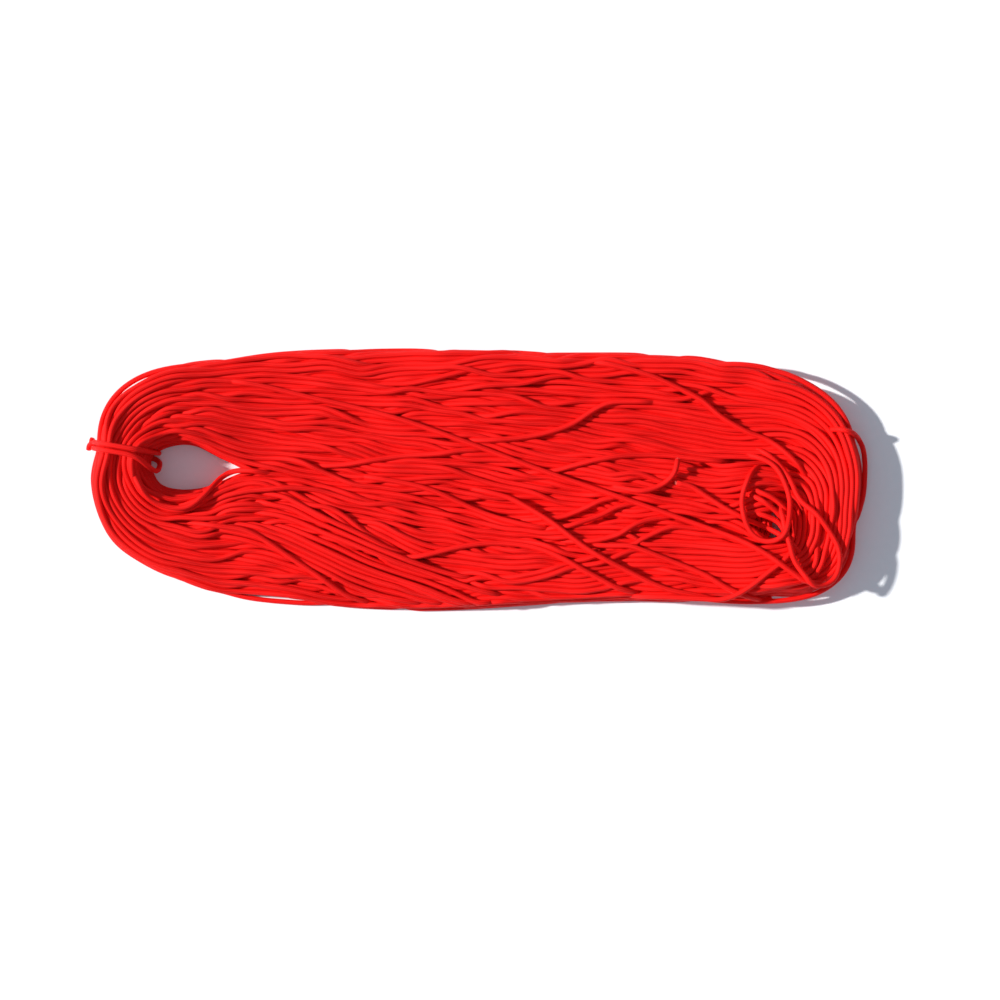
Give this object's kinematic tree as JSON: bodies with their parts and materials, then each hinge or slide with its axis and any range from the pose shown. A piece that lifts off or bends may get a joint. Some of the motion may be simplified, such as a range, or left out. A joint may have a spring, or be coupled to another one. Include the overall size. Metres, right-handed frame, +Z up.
{
  "type": "hank of cord",
  "caption": "Long flat hank of thin round braided cord, gathered and tied around a small eye at one end and spread loose at the other.",
  "frame": {"origin": "middle of the hank's box, on the surface that it lies on", "axes": "+X along the hank from its gathered end to its spread end, +Y across it, +Z up from the surface"},
  "size_m": [0.451, 0.1523, 0.0291],
  "materials": {
    "cord": "matt braided sheath",
    "core": "matt cut yarn",
    "tie": "matt braided sheath"
  },
  "bodies": {
    "root": {"wound_turns": "cord", "long_crossing_strand": "cord", "lower_crossing_strand": "cord", "short_crossing_strand": "cord", "loose_loop": "cord", "loose_bight": "cord", "starting_end_sheath": "cord", "starting_end_core": "core", "finishing_end_sheath": "cord", "finishing_end_core": "core", "gathering_wrap_upper": "tie", "gathering_wrap_lower": "tie", "gathering_knot": "tie", "side_tie": "tie"}
  },
  "joints": []
}
